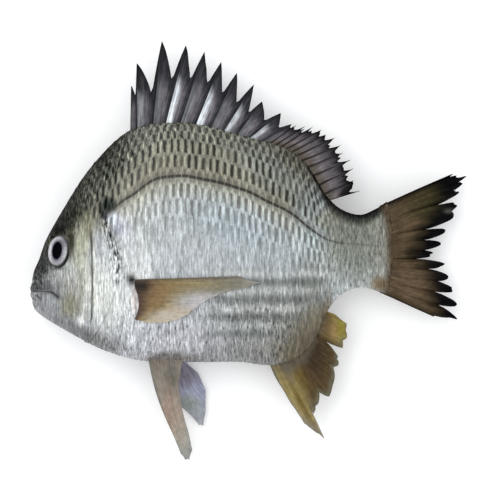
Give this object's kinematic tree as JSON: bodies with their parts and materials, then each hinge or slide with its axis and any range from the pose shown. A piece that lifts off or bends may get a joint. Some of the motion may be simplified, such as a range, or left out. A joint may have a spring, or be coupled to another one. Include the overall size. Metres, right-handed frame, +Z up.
{
  "type": "whole raw fish",
  "caption": "Whole raw sea bream lying on its side: deep scaled body with head, eyes, mouth and gill covers, spiny dorsal fin, forked tail, and anal, pelvic and pectoral fins.",
  "frame": {"origin": "under the middle of the fish's bounding box, on the surface that it lies on", "axes": "+X from the snout towards the tail, +Y from the belly towards the back, +Z up, out of the left flank that shows"},
  "size_m": [0.2506, 0.2424, 0.0435],
  "materials": {
    "skin": "wet silvery scales, dark olive on the back, fading to a pale lilac-white belly",
    "fin": "thin wet membrane over rays, dark grey on the back, olive to golden below",
    "eye": "clear wet eye with a silvery ring and a black pupil",
    "mouth": "dark wet lips and nostrils"
  },
  "bodies": {
    "root": {"fish": "skin"}
  },
  "joints": []
}
